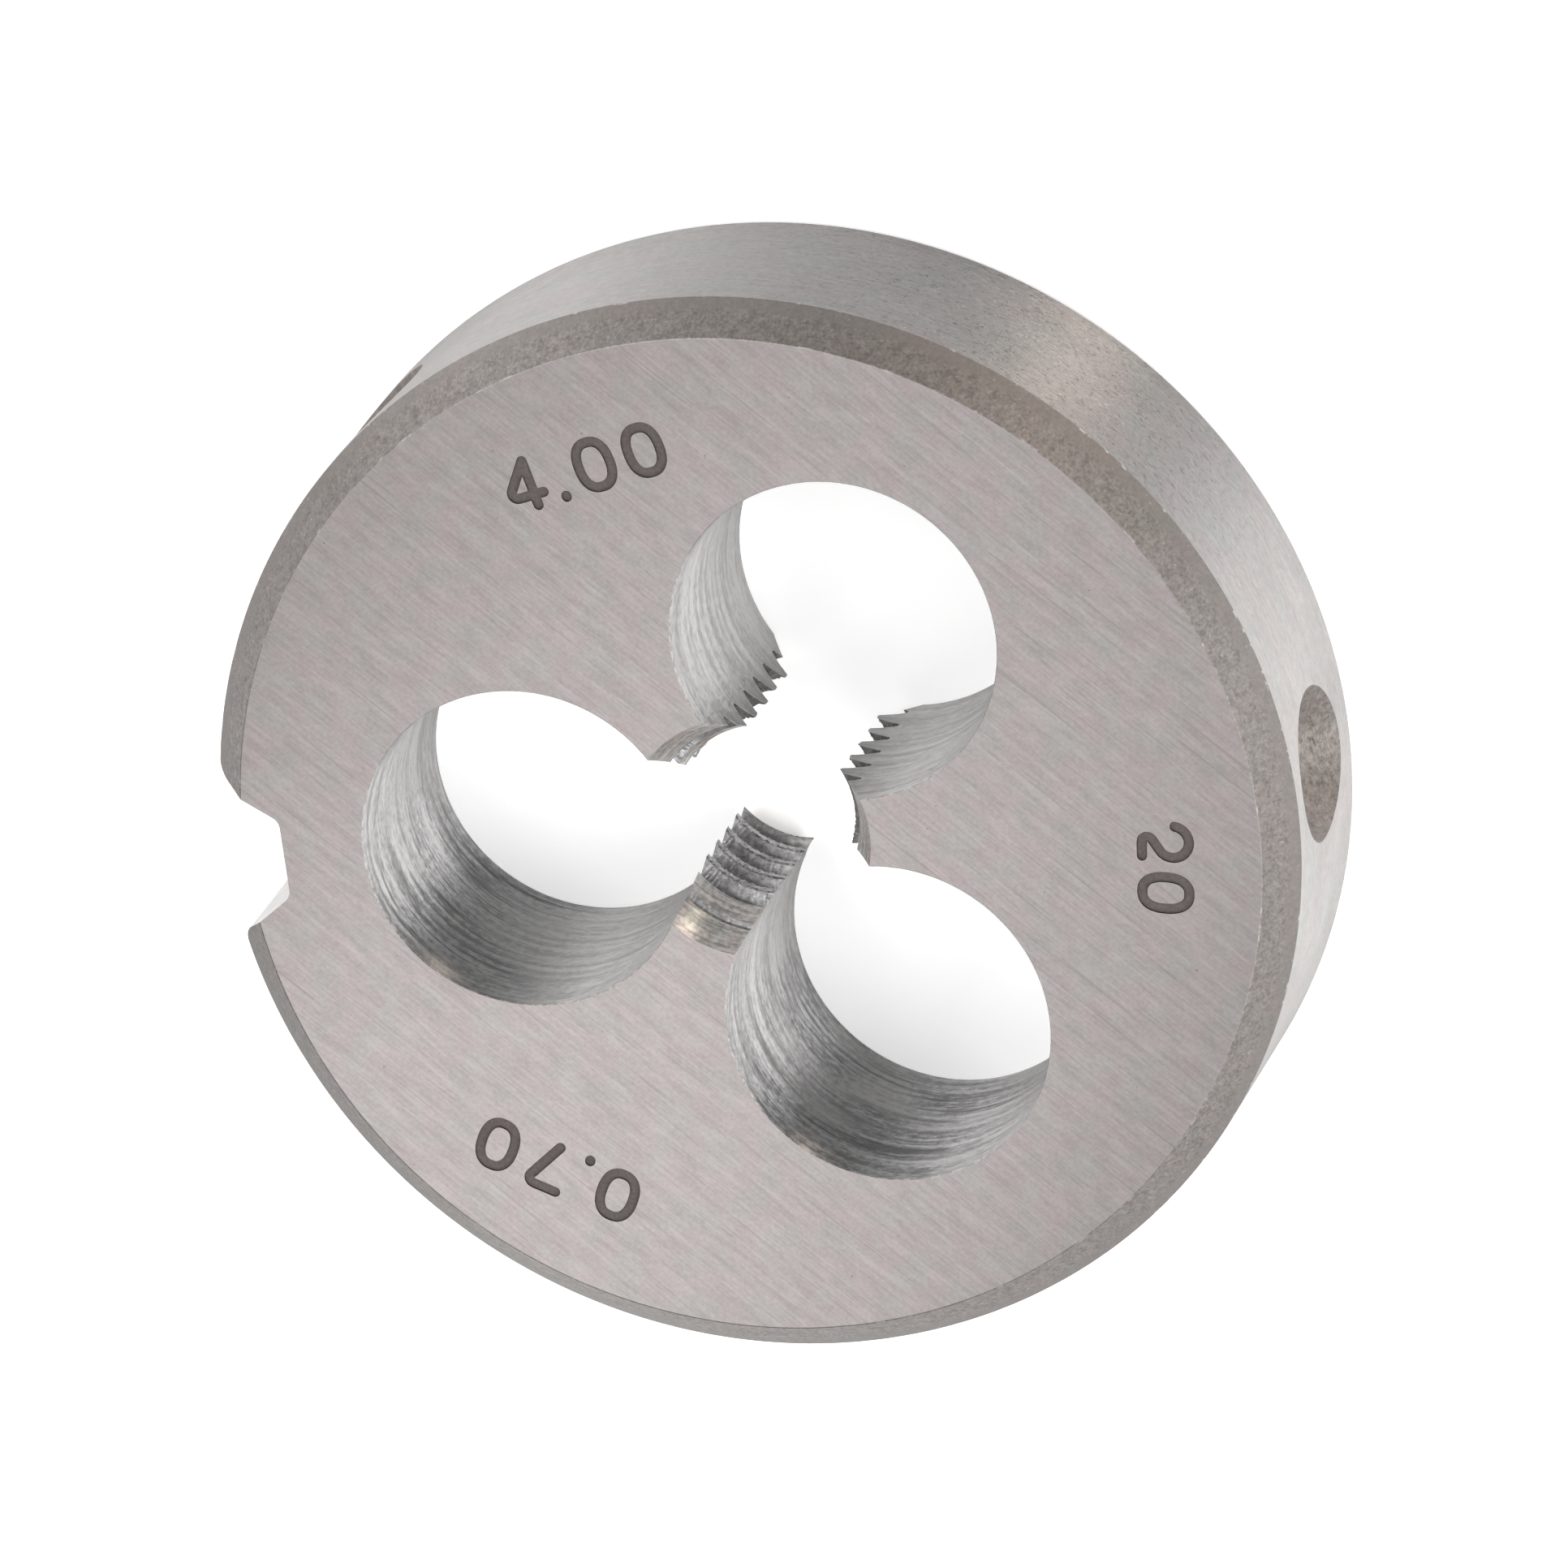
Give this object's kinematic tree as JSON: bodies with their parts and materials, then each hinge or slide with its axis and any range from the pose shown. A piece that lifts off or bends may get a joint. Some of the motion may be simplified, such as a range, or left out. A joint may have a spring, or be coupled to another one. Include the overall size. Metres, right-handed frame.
{
  "type": "round threading die",
  "caption": "Round threading die: a steel disc with a threaded bore parted into toothed lands by chip holes, a locating notch and conical screw dimples in its rim.",
  "frame": {"origin": "centre of the back face, on the thread's axis", "axes": "+Z along the thread's axis, out of the marked face where the rod enters; -X towards the notch in the rim; the part rests on its back face in the XY plane"},
  "size_m": [0.0198, 0.02, 0.005],
  "materials": {
    "die_steel": "ground faces and rim, rough turned bevels, drilled chip holes"
  },
  "bodies": {
    "root": {"die_body": "die_steel"}
  },
  "joints": []
}
